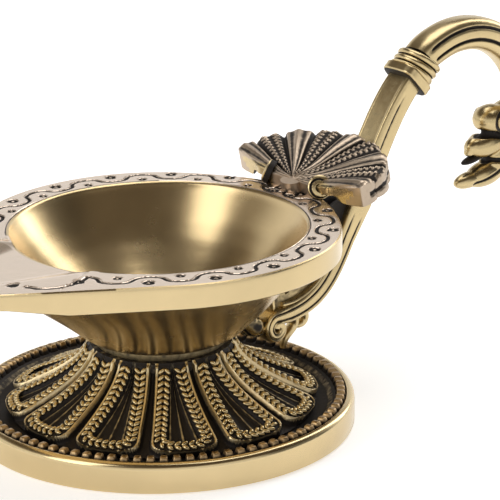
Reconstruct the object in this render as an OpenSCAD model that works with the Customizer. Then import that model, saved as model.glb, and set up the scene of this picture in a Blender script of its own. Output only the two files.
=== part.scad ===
// Hand-held brass oil lamp (diya). The foot's centre on the table is the origin,
// -X points along the wick spout, +X along the handle and +Z is up. Sizes are in mm.

/* [Foot] */
// Diameter of the foot ring
foot_d = 76; // [74:1:80]
// Height of the foot ring's bright bevel
ring_h = 6; // [5.5:0.25:6.5]
// Number of bead teeth round the ring
tooth_count = 90; // [60:6:96]
// Number of petals on the lotus foot
petal_count = 12; // [8:1:12]
// Height of the lotus foot's top face
lotus_z = 17; // [16.5:0.25:17]

/* [Bowl] */
// Height of the rim's top face
rim_z = 40.4; // [40:0.2:41]
// Thickness of the rim
rim_t = 4.8; // [4:0.2:5]
// Diameter of the rim's round part
rim_d = 73; // [72:0.5:74]
// Diameter of the bowl's opening
mouth_d = 58.4; // [56:0.4:58.4]
// Distance from the axis to the tip of the wick spout
spout_l = 67; // [60:1:72]
// Width of the wick trough where it leaves the bowl
trough_w = 26; // [18:1:26]

/* [Handle] */
// Width of the handle's bars, across the lamp
bar_w = 6.6; // [6:0.2:7]
// Thickness of the handle's stem
stem_t = 5; // [4.4:0.2:5.2]
// Radius of the bend in the swan neck
neck_bend_r = 19.4; // [19.2:0.1:19.6]
// Diameter of the swan neck
neck_d = 7.4; // [7:0.2:7.6]

/* [Palmette] */
// Radius of the fan-shaped thumb rest
fan_r = 18.4; // [17.4:0.2:18.6]
// Upward tilt of the fan in degrees
fan_tilt = 12; // [10:0.5:14]
// Number of scallops round the fan
scallop_count = 9; // [7:2:11]

/* [Fasteners] */
// Diameter of the centre screw's shank
screw_d = 5; // [4:0.5:5]
// Diameter of the rivets' shanks
rivet_d = 2.6; // [2:0.2:2.8]
// Diameter of the dowels in the handle
dowel_d = 3; // [2.6:0.2:3]

/* [Hidden] */
$fn = 72;
fit_gap = 0.1;                        // radial clearance of pins, screws and spigots
foot_r = foot_d / 2;
floor_z = 3.8;                        // top of the plate inside the foot ring
plate_z = 2.2;                        // underside of that plate
hat_z = 6;                            // underside of the raised middle, over the screw head
hat_r = 12;
hat_t = 2;
lotus_foot_r = 30.7;
lotus_base_z = 5;                     // where the flare meets the lotus's short upright skirt
lotus_top_r = 14;
lotus_wall = 2.6;
lotus_steps = 7;
petal_t = 1.1;
spigot_r = 6;
spigot_z = 13;
lug_t = 1.6;
lug_r = 13;
cup_z = lotus_z + lug_t;              // underside of the cup, on the handle's lug
rim_r = rim_d / 2;
mouth_r = mouth_d / 2;
rim_under_z = rim_z - rim_t;
tangent_a = acos(rim_r / spout_l);    // where the spout's straight sides leave the round rim
tip_t = 2.2;
keel_shift = 5;                       // the cup's underside leans this far towards the spout
keel_z = 19;
trough_slope = 2;
bend_x = 80.6;                        // centre of the swan neck's bend
bend_z = 45.4;
neck_from = 10;                       // the bend's ends, in degrees above +X
neck_to = 124;
collar_l = 6.4;
collar_r = 4.5;
collar_a = 42;                        // slope of the collar's axis
neck_start = [bend_x + neck_bend_r * cos(neck_to), bend_z + neck_bend_r * sin(neck_to)];
neck_end = [bend_x + neck_bend_r * cos(neck_from), bend_z + neck_bend_r * sin(neck_from)];
neck_end_dir = [sin(neck_from), -cos(neck_from)];
stem_dir = [cos(collar_a), sin(collar_a)];
stem_end = neck_start - collar_l * stem_dir;
stem_mid = [50.4, 34.6];              // where the stem's two curves meet
stem_steps = 8;
fan_x = 35;
fan_t = 3.8;
rivet_x = 33.2;
rivet_y = 6.2;
rivet_seat_z = 43;
rivet_head_r = 2.6;
pin_z = 45.4;
pin_r = 1.2;                          // also the radius of the head's dowel

// A point at t on the cubic curve through p[0] and p[3], led by p[1] and p[2].
function bezier(p, t) = pow(1 - t, 3) * p[0] + 3 * t * pow(1 - t, 2) * p[1]
    + 3 * t * t * (1 - t) * p[2] + pow(t, 3) * p[3];

// The unit direction across the curve at t.
function across(p, t) =
    let (d = bezier(p, min(1, t + 0.01)) - bezier(p, max(0, t - 0.01)))
    [-d[1], d[0]] / norm(d);

// The outline of a bar along the curve, from thickness t0 to thickness t1.
function bar_outline(p, t0, t1, n) = concat(
    [for (i = [0:n]) bezier(p, i / n) + across(p, i / n) * (t0 + (t1 - t0) * i / n) / 2],
    [for (i = [n:-1:0]) bezier(p, i / n) - across(p, i / n) * (t0 + (t1 - t0) * i / n) / 2]);

// The lotus foot's radius at the share s of its height.
function lotus_r(s) = lotus_top_r + (lotus_foot_r - lotus_top_r) * pow(1 - s, 1.9);
function lotus_at(s, grow) = [lotus_r(s) + grow, lotus_base_z + (lotus_z - lotus_base_z) * s];

// Stands a flat XZ outline up, w wide and centred on the lamp's plane of symmetry.
module upright(w) {
    rotate([90, 0, 0])
        translate([0, 0, -w / 2])
            linear_extrude(w)
                children();
}

// Puts its children at a point in the XZ plane, their Z axis along the direction d.
module along(point, d) {
    translate([point[0], 0, point[1]])
        rotate([0, atan2(d[0], d[1]), 0])
            children();
}

module ring_section() {
    bevel = 1.3;
    difference() {
        union() {
            translate([foot_r - bevel - 0.2, 0])
                square([bevel + 0.2, ring_h - bevel]);
            translate([foot_r - bevel, ring_h - bevel])
                circle(bevel);
            polygon([[29, plate_z], [31, 0], [foot_r - bevel, 0], [foot_r - bevel, ring_h - 0.8],
                     [foot_r - 3.7, ring_h - 0.8], [foot_r - 5, floor_z], [hat_r, floor_z],
                     [hat_r - 2, hat_z + hat_t], [0, hat_z + hat_t], [0, hat_z],
                     [hat_r - 4, hat_z], [hat_r - 2, plate_z]]);
        }
        translate([foot_r - 4, ring_h])
            square([2, 2]);
    }
}

module base_ring() {
    tooth_l = 2.2;
    tooth_w = PI * foot_d / tooth_count * 0.55;
    color("goldenrod")
        difference() {
            union() {
                rotate_extrude()
                    ring_section();
                for (i = [0:tooth_count - 1])
                    rotate([0, 0, i * 360 / tooth_count])
                        translate([foot_r - 3.7, -tooth_w / 2, ring_h - 1.2])
                            cube([tooth_l, tooth_w, 1.2]);
            }
            cylinder(h = ring_h * 4, r = screw_d / 2 + 0.2, center = true);
        }
}

// One petal's border in plan: a loop, closed at the outer end and open towards the bowl.
module petal_loop() {
    outer_w = 5.9;
    inner_w = 2.9;
    border = 2.7;
    corner_r = 3.4;
    end_x = lotus_foot_r - corner_r;
    difference() {
        union() {
            for (side = [-1, 1])
                translate([end_x, side * (outer_w - corner_r)])
                    circle(corner_r);
            translate([end_x, corner_r - outer_w])
                square([corner_r, 2 * (outer_w - corner_r)]);
            polygon([[lotus_top_r - 1, -inner_w], [end_x, -outer_w], [end_x, outer_w],
                     [lotus_top_r - 1, inner_w]]);
        }
        polygon([[lotus_top_r, -0.4], [end_x - 1, border - outer_w],
                 [end_x + corner_r - border, border + 0.7 - outer_w],
                 [end_x + corner_r - border, outer_w - border - 0.7],
                 [end_x - 1, outer_w - border], [lotus_top_r, 0.4]]);
    }
}

module lotus_shell(grow) {
    rotate_extrude()
        polygon(concat([[0, floor_z], [lotus_foot_r + grow, floor_z]],
            [for (i = [0:lotus_steps]) lotus_at(i / lotus_steps, grow)], [[0, lotus_z]]));
}

module lotus_foot() {
    color("darkgoldenrod")
        difference() {
            union() {
                lotus_shell(0);
                intersection() {
                    lotus_shell(petal_t);
                    for (i = [0:petal_count - 1])
                        rotate([0, 0, i * 360 / petal_count])
                            translate([0, 0, floor_z])
                                linear_extrude(lotus_z - floor_z - 0.6)
                                    petal_loop();
                }
            }
            rotate_extrude()
                polygon([[0, floor_z - 1], [lotus_foot_r - lotus_wall * 1.6, floor_z - 1],
                         [lotus_foot_r - lotus_wall * 1.6, floor_z], [hat_r + 2, 9.5],
                         [hat_r - 1, lotus_z - lotus_wall], [0, lotus_z - lotus_wall]]);
            translate([0, 0, lotus_z - 4])
                cylinder(h = 5, r = spigot_r + fit_gap);
        }
}

// The rim's outline: a round plate and the straight-sided wick spout.
module rim_outline() {
    tip_r = 1.5;
    circle(rim_r);
    translate([-spout_l + tip_r, 0])
        circle(tip_r);
    polygon([[-rim_r * cos(tangent_a), rim_r * sin(tangent_a)],
             [-spout_l + tip_r, tip_r], [-spout_l + tip_r, -tip_r],
             [-rim_r * cos(tangent_a), -rim_r * sin(tangent_a)]]);
}

// What the spout's underside loses, so that it thins towards the tip.
module spout_relief() {
    upright(rim_d)
        polygon([[-rim_r, rim_under_z], [-rim_r - 9.5, rim_under_z + 1.6],
                 [-spout_l - 1, rim_z - tip_t], [-spout_l - 1, rim_under_z - 1],
                 [-rim_r, rim_under_z - 1]]);
}

module cup_inside() {
    rotate_extrude()
        polygon([[0, 21.6], [12, 21.8], [14.6, 23], [21.5, 29.5], [26.6, 36], [mouth_r, rim_z],
                 [mouth_r, rim_z + 1], [0, rim_z + 1]]);
}

module trough() {
    translate([-mouth_r + 4, 0, rim_z - 2.2])
        rotate([0, trough_slope, 0])
            linear_extrude(6)
                polygon([[0, trough_w / 2], [-spout_l + mouth_r - 1, 1], [-spout_l + mouth_r - 1, -1],
                         [0, -trough_w / 2]]);
}

module bowl() {
    color("gold")
        difference() {
            union() {
                difference() {
                    translate([0, 0, rim_under_z])
                        linear_extrude(rim_t)
                            rim_outline();
                    spout_relief();
                }
                rotate_extrude()
                    polygon([[0, cup_z], [14.6, cup_z], [17.4, 20.2], [23.2, 26.4],
                             [29.4, rim_under_z], [0, rim_under_z]]);
                translate([-keel_shift, 0, keel_z])
                    cylinder(h = rim_under_z - keel_z, r1 = 10, r2 = 29.6);
                translate([0, 0, spigot_z])
                    cylinder(h = cup_z - spigot_z + 1, r = spigot_r);
            }
            cup_inside();
            trough();
            translate([0, 0, spigot_z - 1])
                cylinder(h = 7.2, r = screw_d / 2 + fit_gap);
            for (side = [-1, 1])
                translate([rivet_x, side * rivet_y, rim_z - 6])
                    cylinder(h = 12, r = rivet_d / 2 + fit_gap);
        }
}

// The stem's upper curve, t thick. The fan's edge is notched round a thicker copy of it.
module upper_stem_outline(t) {
    curve = [stem_mid, [54.8, 42], stem_end - 8 * stem_dir, stem_end];
    polygon(bar_outline(curve, t, t, stem_steps));
}

module stem_outline() {
    lower = [[29, 15.2], [41, 14.6], [43.2, 22.4], stem_mid];
    polygon(bar_outline(lower, 5, stem_t, stem_steps));
    upper_stem_outline(stem_t);
}

// The leaf-shaped web between the stem and the bowl's rim, pierced by a crescent.
module web_outline() {
    difference() {
        polygon([[27.4, 16], [26.8, 22], [28.6, 28.4], [31, rim_under_z - 1.2],
                 [37.4, rim_under_z - 1], [43, 36.2], [49.6, 35.6], [47, 28], [42, 20], [36, 15]]);
        difference() {
            translate([37.4, 26])
                circle(5);
            translate([35.6, 28.4])
                circle(5.4);
        }
    }
}

module handle_bracket() {
    web_t = 4.4;
    leaf = [[13, lotus_z + 0.8], [17.5, 18.4], [19.5, 16.6], [24, 13]];
    tendril = [[34, 13.4], [34.5, 10.6], [31.5, 10.6], [31.4, 7.4]];
    color("goldenrod")
        difference() {
            union() {
                upright(bar_w)
                    stem_outline();
                upright(web_t)
                    web_outline();
                upright(bar_w)
                    polygon(bar_outline(leaf, lug_t, 4.4, stem_steps));
                upright(bar_w + 0.6)
                    translate([27.4, 12.9])
                        circle(3.8);
                upright(3)
                    polygon(bar_outline(tendril, 1.8, 1.2, stem_steps));
                translate([0, 0, lotus_z])
                    cylinder(h = lug_t, r = lug_r);
            }
            translate([0, 0, lotus_z - 1])
                cylinder(h = lug_t + 2, r = spigot_r + fit_gap);
            along(stem_end - 5 * stem_dir, stem_dir)
                cylinder(h = 6, r = dowel_d / 2 + fit_gap);
            translate([50.5, 0, pin_z])
                rotate([0, 90, 0])
                    cylinder(h = 5.4, r = pin_r + fit_gap);
        }
}

// The fan in its own plane: a half disc with a scalloped edge and two rounded ears.
module fan_outline() {
    scallop_r = PI * fan_r / scallop_count / 2 * 1.02;
    intersection() {
        union() {
            circle(fan_r - 1);
            for (i = [0:scallop_count - 1])
                rotate(-90 + 180 * (i + 0.5) / scallop_count)
                    translate([fan_r - 1.2, 0])
                        circle(scallop_r);
        }
        translate([0, -fan_r * 1.5])
            square([fan_r * 1.5, fan_r * 3]);
    }
    translate([1.5, 0])
        circle(9);
}

module palmette() {
    color("darkgoldenrod")
        difference() {
            translate([fan_x, 0, rim_z])
                rotate([0, -fan_tilt, 0])
                    translate([0, 0, -0.6])
                        linear_extrude(fan_t + 0.6)
                            difference() {
                                fan_outline();
                                for (side = [-1, 1])
                                    translate([-2.6, side * 11.8])
                                        circle(5);
                            }
            translate([0, -30, rim_z - 10])
                cube([rim_r + 12, 60, 10]);
            cylinder(h = 60, r = mouth_r + 0.6);
            for (side = [-1, 1])
                translate([rivet_x, side * rivet_y, 0]) {
                    translate([0, 0, rim_z - 1])
                        cylinder(h = 12, r = rivet_d / 2 + fit_gap);
                    translate([0, 0, rivet_seat_z])
                        cylinder(h = 6, r = rivet_head_r + fit_gap);
                }
            translate([45, 0, pin_z])
                rotate([0, 90, 0])
                    cylinder(h = 12, r = pin_r + fit_gap);
            upright(bar_w + 0.8)
                upper_stem_outline(stem_t + 1.2);
        }
}

module palmette_rivets() {
    color("gold")
        for (side = [-1, 1])
            translate([rivet_x, side * rivet_y, 0]) {
                translate([0, 0, rim_under_z - 0.8])
                    cylinder(h = 0.8, r = 1.9);
                translate([0, 0, rim_under_z - 0.1])
                    cylinder(h = rivet_seat_z - rim_under_z + 0.2, r = rivet_d / 2);
                translate([0, 0, rivet_seat_z])
                    cylinder(h = 1.6, r = rivet_head_r);
            }
}

module palmette_pin() {
    color("gold")
        translate([47, 0, pin_z])
            rotate([0, 90, 0])
                cylinder(h = 8.4, r = pin_r);
}

module neck_collar() {
    band_count = 3;
    band_h = collar_l / band_count;
    color("gold")
        along(stem_end, stem_dir)
            rotate_extrude() {
                translate([dowel_d / 2 + fit_gap, 0])
                    square([collar_r - dowel_d / 2 - fit_gap - 0.8, collar_l]);
                for (i = [0:band_count - 1])
                    translate([collar_r - 0.9, (i + 0.5) * band_h])
                        circle(band_h / 2 - 0.02);
            }
}

module collar_dowel() {
    color("silver")
        along(stem_end - 4.8 * stem_dir, stem_dir)
            cylinder(h = 4.8 + collar_l + 4, r = dowel_d / 2);
}

module swan_neck() {
    overrun = 2;                      // degrees of bend that the collar's plane cuts off again
    color("goldenrod")
        difference() {
            translate([bend_x, 0, bend_z])
                rotate([90, 0, 0])
                    rotate([0, 0, neck_from])
                        rotate_extrude(angle = neck_to + overrun - neck_from)
                            translate([neck_bend_r, 0])
                                circle(neck_d / 2);
            along(neck_start, stem_dir)
                translate([-neck_d, -neck_d, -neck_d])
                    cube([2 * neck_d, 2 * neck_d, neck_d]);
            along(neck_start - stem_dir, stem_dir)
                cylinder(h = 5.4, r = dowel_d / 2 + fit_gap);
            along(neck_end + neck_end_dir, -neck_end_dir)
                cylinder(h = 5.2, r = pin_r + fit_gap);
        }
}

// A ball in the head, at a point in the XZ plane.
module ball(x, z, r) {
    translate([x, 0, z])
        sphere(r, $fn = 28);
}

module bird_head() {
    color("goldenrod")
        difference() {
            union() {
                hull() {
                    ball(97.6, 43, 4.9);
                    ball(94, 44, 4.2);
                    ball(90.2, 43.6, 4.1);
                    ball(92.5, 36.6, 4.4);
                }
                hull() {
                    ball(90, 40, 4);
                    ball(85.8, 39.4, 2.4);
                    ball(88, 37.8, 3.2);
                }
                hull() {
                    ball(92, 34.4, 3.8);
                    ball(88, 32.6, 2.4);
                    ball(81.4, 32.4, 1.3);
                }
                along(neck_end, neck_end_dir)
                    cylinder(h = 5, r = neck_d / 2);
            }
            along(neck_end, -neck_end_dir)
                translate([-6, -10, 0])
                    cube([26, 20, 10]);
            along(neck_end + 4 * neck_end_dir, -neck_end_dir)
                cylinder(h = 6, r = pin_r + fit_gap);
        }
}

module head_dowel() {
    color("silver")
        along(neck_end + 3.8 * neck_end_dir, -neck_end_dir)
            cylinder(h = 7.6, r = pin_r);
}

module centre_screw() {
    head_h = 3.4;
    color("silver") {
        translate([0, 0, hat_z - 1 - head_h])
            cylinder(h = head_h, r = 4.4, $fn = 6);
        translate([0, 0, hat_z - 1.1])
            cylinder(h = 13.8, r = screw_d / 2);
    }
}

module screw_washer() {
    color("silver")
        translate([0, 0, hat_z - 1])
            difference() {
                cylinder(h = 1, r = 5);
                translate([0, 0, -1])
                    cylinder(h = 3, r = screw_d / 2 + fit_gap);
            }
}

base_ring();
lotus_foot();
bowl();
handle_bracket();
palmette();
palmette_rivets();
palmette_pin();
neck_collar();
collar_dowel();
swan_neck();
bird_head();
head_dowel();
centre_screw();
screw_washer();
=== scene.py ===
# %% [markdown]
# # A brass diya: the visual model
# A hand-held oil lamp is a handful of brass castings. Each one is made here round the packed
# CAD model, which is loaded first and never moved. Blender counts in metres and a brass worker
# in millimetres, so mm() turns one into the other.

# %% Load the frame
import bpy
import math
import numpy as np
from mathutils import Matrix, Vector


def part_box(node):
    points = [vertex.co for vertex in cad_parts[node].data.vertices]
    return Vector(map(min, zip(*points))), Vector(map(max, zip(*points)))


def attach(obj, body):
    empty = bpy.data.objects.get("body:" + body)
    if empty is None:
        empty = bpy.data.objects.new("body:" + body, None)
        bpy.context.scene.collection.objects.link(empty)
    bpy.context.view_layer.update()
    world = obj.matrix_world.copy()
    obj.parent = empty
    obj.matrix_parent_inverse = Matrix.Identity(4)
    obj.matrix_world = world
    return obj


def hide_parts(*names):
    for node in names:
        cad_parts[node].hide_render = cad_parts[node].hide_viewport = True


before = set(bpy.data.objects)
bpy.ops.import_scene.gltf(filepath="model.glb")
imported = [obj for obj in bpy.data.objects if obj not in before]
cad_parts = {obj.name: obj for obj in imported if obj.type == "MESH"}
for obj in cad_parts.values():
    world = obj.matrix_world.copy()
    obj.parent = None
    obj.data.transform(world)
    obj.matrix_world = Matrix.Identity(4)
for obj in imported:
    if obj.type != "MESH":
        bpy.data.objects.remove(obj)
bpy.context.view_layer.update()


def mm(value):
    return value * 0.001


# %% [markdown]
# The driving sizes come from the CAD nodes' own boxes, so the visual pieces sit where the
# solids sit. Only sizes that no box tells, such as the width of a petal, are given here.

# %% Sizes read from the frame, in millimetres
foot_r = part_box("base_ring")[1].x * 1000
lotus_low, lotus_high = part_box("lotus_foot")
bowl_low, bowl_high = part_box("bowl")
lotus_r = lotus_high.x * 1000
lotus_top_z = lotus_high.z * 1000
floor_z = lotus_low.z * 1000
rim_r = bowl_high.y * 1000
rim_z = bowl_high.z * 1000
spout_l = -bowl_low.x * 1000
neck_top_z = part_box("swan_neck")[1].z * 1000
print("foot", foot_r, "lotus", lotus_r, lotus_top_z)
print("rim", rim_r, rim_z, "spout", spout_l, "neck", neck_top_z)

# %% [markdown]
# Every Blender operator works on what is selected, so each piece is picked by name before it
# is worked on, and nothing else is. Its points are read and written as one array.

# %% Picking a piece and its points
def deselect():
    if bpy.context.mode != "OBJECT":
        bpy.ops.object.mode_set(mode="OBJECT")
    bpy.ops.object.select_all(action="DESELECT")


def pick(piece):
    deselect()
    piece.select_set(True)
    bpy.context.view_layer.objects.active = piece


def edit_all(piece):
    pick(piece)
    bpy.ops.object.mode_set(mode="EDIT")
    bpy.ops.mesh.select_all(action="SELECT")


def weld(piece, distance=0.02):
    """Merges points closer than distance, in mm, and turns every face outwards."""
    edit_all(piece)
    bpy.ops.mesh.remove_doubles(threshold=mm(distance))
    bpy.ops.mesh.normals_make_consistent(inside=False)
    bpy.ops.object.mode_set(mode="OBJECT")


def points(piece):
    flat = np.empty(len(piece.data.vertices) * 3)
    piece.data.vertices.foreach_get("co", flat)
    return flat.reshape(-1, 3)


def set_points(piece, co):
    piece.data.vertices.foreach_set("co", np.ascontiguousarray(co).ravel())
    piece.data.update()


def point_normals(piece):
    flat = np.empty(len(piece.data.vertices) * 3)
    piece.data.vertices.foreach_get("normal", flat)
    return flat.reshape(-1, 3)


def steps(value, low, high):
    """Rises smoothly from 0 at low to 1 at high."""
    t = np.clip((value - low) / (high - low), 0, 1)
    return t * t * (3 - 2 * t)


print("steps from 0 to 1:", steps(np.array([0, 0.5, 1]), 0, 1))

# %% [markdown]
# Most of this lamp is sheets wrapped into shapes: a cup, a rim, a bent bar. Blender's grid
# primitive is such a sheet. wrap_sheet adds one, moves every vertex by a rule of its two
# parameters, and welds the seam. Each vertex also carries a number that says how much black
# wax lies there; in a few places the same number also holds painted shade.

# %% A sheet wrapped into a shape
def set_patina_and_shade(piece, values):
    layer = piece.data.attributes.get("patina_and_shade")
    if layer is None:
        layer = piece.data.attributes.new("patina_and_shade", "FLOAT", "POINT")
    layer.data.foreach_set("value", np.clip(values, 0, 1).astype(np.float32))


def get_patina_and_shade(piece):
    layer = piece.data.attributes.get("patina_and_shade")
    values = np.zeros(len(piece.data.vertices), np.float32)
    if layer is not None:
        layer.data.foreach_get("value", values)
    return values


def even_patina(piece, value):
    set_patina_and_shade(piece, np.full(len(piece.data.vertices), value))


def wrap_sheet(name, columns, rows, place, weld_distance=0.02):
    """A grid of columns by rows faces; place(u, v) gives x, y, z in mm and the patina, which in a few places
    holds painted shade.
    """
    deselect()
    bpy.ops.mesh.primitive_grid_add(x_subdivisions=columns, y_subdivisions=rows, size=1)
    piece = bpy.context.object
    piece.name = name
    flat = points(piece)
    x, y, z, patina_and_shade = place(flat[:, 0] + 0.5, flat[:, 1] + 0.5)
    set_points(piece, np.stack([x, y, z], axis=1) * 0.001)
    set_patina_and_shade(piece, patina_and_shade)
    weld(piece, weld_distance)
    return piece


print("wrap_sheet makes a grid and moves its points")

# %% [markdown]
# Turned parts are made as a lathe would: one point is extruded along the profile, and the
# profile is spun round the axis. Leaving a small hole at the axis would leave the mesh open,
# so profiles start and end a hundredth of a millimetre from it and the weld closes them.

# %% A turned profile
def lathe(name, profile, segments=128):
    """Spins a profile of (radius, height) points in mm about the Z axis."""
    deselect()
    start_r, start_z = profile[0]
    bpy.ops.mesh.primitive_plane_add(size=mm(0.001), location=(mm(start_r), 0, mm(start_z)))
    piece = bpy.context.object
    piece.name = name
    bpy.ops.object.transform_apply(location=True, rotation=True, scale=True)
    bpy.ops.object.mode_set(mode="EDIT")
    bpy.ops.mesh.select_mode(type="VERT")
    bpy.ops.mesh.select_all(action="SELECT")
    bpy.ops.mesh.merge(type="CENTER")
    for here, there in zip(profile, profile[1:]):
        step = (mm(there[0] - here[0]), 0, mm(there[1] - here[1]))
        bpy.ops.mesh.extrude_region_move(TRANSFORM_OT_translate={"value": step})
    bpy.ops.mesh.select_all(action="SELECT")
    bpy.ops.mesh.spin(steps=segments, angle=math.tau, center=(0, 0, 0), axis=(0, 0, 1))
    bpy.ops.mesh.select_all(action="SELECT")
    bpy.ops.mesh.remove_doubles(threshold=mm(0.01))
    bpy.ops.mesh.normals_make_consistent(inside=False)
    bpy.ops.object.mode_set(mode="OBJECT")
    return piece


print("lathe spins a profile about Z")

# %% [markdown]
# Three more habits of the bench: a modifier is applied as soon as it is added, pieces of one
# casting are joined, and a detail that repeats is modelled once and copied to every place.

# %% Modifiers, joins and copies
def apply_modifier(piece, kind, **settings):
    pick(piece)
    modifier = piece.modifiers.new(kind.lower(), kind)
    for key, value in settings.items():
        setattr(modifier, key, value)
    bpy.ops.object.modifier_apply(modifier=modifier.name)


def join(name, pieces):
    deselect()
    for piece in pieces:
        piece.select_set(True)
    bpy.context.view_layer.objects.active = pieces[0]
    bpy.ops.object.join()
    whole = bpy.context.object
    whole.name = name
    return whole


def scatter(name, model, places):
    """One mesh that holds a copy of model at each matrix in places; the model itself goes."""
    co = points(model)
    faces = [tuple(face.vertices) for face in model.data.polygons]
    corners = np.vstack([co.T, np.ones(len(co))])
    all_co = np.concatenate([(np.array(place) @ corners)[:3].T for place in places])
    all_faces = [tuple(i + k * len(co) for i in face) for k in range(len(places)) for face in faces]
    mesh = bpy.data.meshes.new(name)
    mesh.from_pydata(all_co.tolist(), [], all_faces)
    piece = bpy.data.objects.new(name, mesh)
    bpy.context.scene.collection.objects.link(piece)
    set_patina_and_shade(piece, np.tile(get_patina_and_shade(model), len(places)))
    bpy.data.objects.remove(model)
    return piece


print("scatter copies one small piece to many places")

# %% [markdown]
# Antique brass is bright where it has been buffed and black where the buffing wheel can't
# reach. The second half of that is worked out here from the mesh: a vertex that lies below the
# mean of its neighbours is in a hollow, and more wax is added to its patina.

# %% Darkening the hollows
def add_cavity(piece, strength, spread=3):
    """Adds wax where the surface is hollow; spread is how many times the result is blurred."""
    co = points(piece)
    edges = np.empty(len(piece.data.edges) * 2, np.int32)
    piece.data.edges.foreach_get("vertices", edges)
    a, b = edges.reshape(-1, 2).T
    count = np.bincount(a, minlength=len(co)) + np.bincount(b, minlength=len(co))
    count = np.maximum(count, 1)

    def neighbours(values):
        total = np.zeros_like(values)
        np.add.at(total, a, values[b])
        np.add.at(total, b, values[a])
        return total / (count[:, None] if values.ndim > 1 else count)

    length = np.linalg.norm(co[a] - co[b], axis=1)
    mean_length = np.zeros(len(co))
    np.add.at(mean_length, a, length)
    np.add.at(mean_length, b, length)
    mean_length = np.maximum(mean_length / count, 1e-9)
    hollow = ((neighbours(co) - co) * point_normals(piece)).sum(axis=1) / mean_length
    for _ in range(spread):
        hollow = 0.5 * hollow + 0.5 * neighbours(hollow)
    set_patina_and_shade(piece, get_patina_and_shade(piece) + np.clip(hollow * strength, -0.3, 1.0))


print("add_cavity reads hollows from the mesh")

# %% [markdown]
# A shader is a small factory of nodes. add_node adds one, sets it and links it in a single
# call, so that the recipe below reads from the raw noise to the finished metal.

# %% Adding shader nodes
def add_node(tree, kind, values=None, links=None, **settings):
    """Adds a node, sets its properties and input values, and links its inputs."""
    node = tree.nodes.new("ShaderNode" + kind)
    for key, value in settings.items():
        setattr(node, key, value)
    for socket, value in (values or {}).items():
        node.inputs[socket].default_value = value
    for socket, source in (links or {}).items():
        tree.links.new(source, node.inputs[socket])
    return node


def noise(tree, place, scale, detail, roughness=0.5):
    values = {"Scale": scale, "Detail": detail, "Roughness": roughness}
    return add_node(tree, "TexNoise", values, {"Vector": place}).outputs["Fac"]


def bump(tree, height, strength, depth, under=None):
    """A bump depth mm deep, laid over the normal under, if there is one."""
    links = {"Height": height}
    if under:
        links["Normal"] = under
    values = {"Strength": strength, "Distance": mm(depth)}
    return add_node(tree, "Bump", values, links).outputs["Normal"]


print("nodes are added by add_node")

# %% [markdown]
# One recipe makes all the brass. Its bright colour is a pale gold, its dark is a brown-black
# wax that is hardly metal at all, and in a few places the same dark is painted shade; fine
# noise breaks the border between the two. Roughness follows the same mask, so hollows look
# dull and edges shine. Turned work also has fine rings, which are noise that knows only the
# radius and the height.

# %% Parts of the brass recipe
def wax_and_shade_mask(tree, place, worn):
    """1 in the waxed hollows and where shade is painted, 0 on bare metal; the more worn, the less of either
    is left.
    """
    patina_and_shade = add_node(tree, "Attribute", attribute_name="patina_and_shade").outputs["Fac"]
    ragged = add_node(tree, "Math", {1: 0.5}, {0: noise(tree, place, 900, 4), 2: patina_and_shade},
                      operation="MULTIPLY_ADD").outputs[0]
    limits = {"From Min": 0.25 + worn * 0.3, "From Max": 0.65 + worn * 0.5}
    return add_node(tree, "MapRange", limits, {"Value": ragged},
                    interpolation_type="SMOOTHSTEP").outputs["Result"]


def brass_colour(tree, stain, mask, bright, dark, blotch):
    tone = add_node(tree, "ValToRGB", links={"Fac": stain})
    low, high = tone.color_ramp.elements
    low.position, high.position = 0.3, 0.7
    low.color = (*[c * (1 - blotch * 2) for c in bright], 1)
    high.color = (*[min(1, c * (1 + blotch)) for c in bright], 1)
    return add_node(tree, "Mix", {"B": (*dark, 1)}, {"Factor": mask, "A": tone.outputs["Color"]},
                    data_type="RGBA").outputs["Result"]


def brass_roughness(tree, stain, mask, rough, blotch):
    wax_roughness = 0.62
    limits = {"From Min": 0.3, "From Max": 0.7,
              "To Min": rough * (1 - 2 * blotch), "To Max": rough * (1 + 2.5 * blotch)}
    bare = add_node(tree, "MapRange", limits, {"Value": stain}).outputs["Result"]
    return add_node(tree, "Mix", {"B": wax_roughness}, {"Factor": mask, "A": bare}).outputs["Result"]


def turning_marks(tree, place):
    apart = add_node(tree, "SeparateXYZ", links={"Vector": place}).outputs
    flat = add_node(tree, "CombineXYZ", links={"X": apart["X"], "Y": apart["Y"]}).outputs["Vector"]
    radius = add_node(tree, "VectorMath", links={0: flat}, operation="LENGTH").outputs["Value"]
    line = add_node(tree, "CombineXYZ", links={"X": radius, "Y": apart["Z"]}).outputs["Vector"]
    return noise(tree, line, 2600, 3)


print("the recipe has a mask, a colour, a roughness and turning marks")


# %% The brass finishes
def brass(name, bright, rough, grain, grain_size, dark=(0.016, 0.011, 0.008),
          ring_marks=0.0, worn=0.5, blotch=0.1):
    """A finish: grain and ring_marks are bump strengths, and grain_size is grains per metre."""
    material = bpy.data.materials.new(name)
    material.use_nodes = True
    tree = material.node_tree
    tree.nodes.clear()
    place = add_node(tree, "TexCoord").outputs["Object"]
    mask = wax_and_shade_mask(tree, place, worn)
    stain = noise(tree, place, 60, 6, 0.6)
    metal = add_node(tree, "MapRange", {"To Min": 1.0, "To Max": 0.35}, {"Value": mask})
    normal = bump(tree, noise(tree, place, grain_size, 5), grain, 0.1)
    if ring_marks:
        normal = bump(tree, turning_marks(tree, place), ring_marks, 0.05, normal)
    shader = add_node(tree, "BsdfPrincipled", links={
        "Base Color": brass_colour(tree, stain, mask, bright, dark, blotch),
        "Metallic": metal.outputs["Result"],
        "Roughness": brass_roughness(tree, stain, mask, rough, blotch),
        "Normal": normal})
    add_node(tree, "OutputMaterial", links={"Surface": shader.outputs["BSDF"]})
    return material


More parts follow.
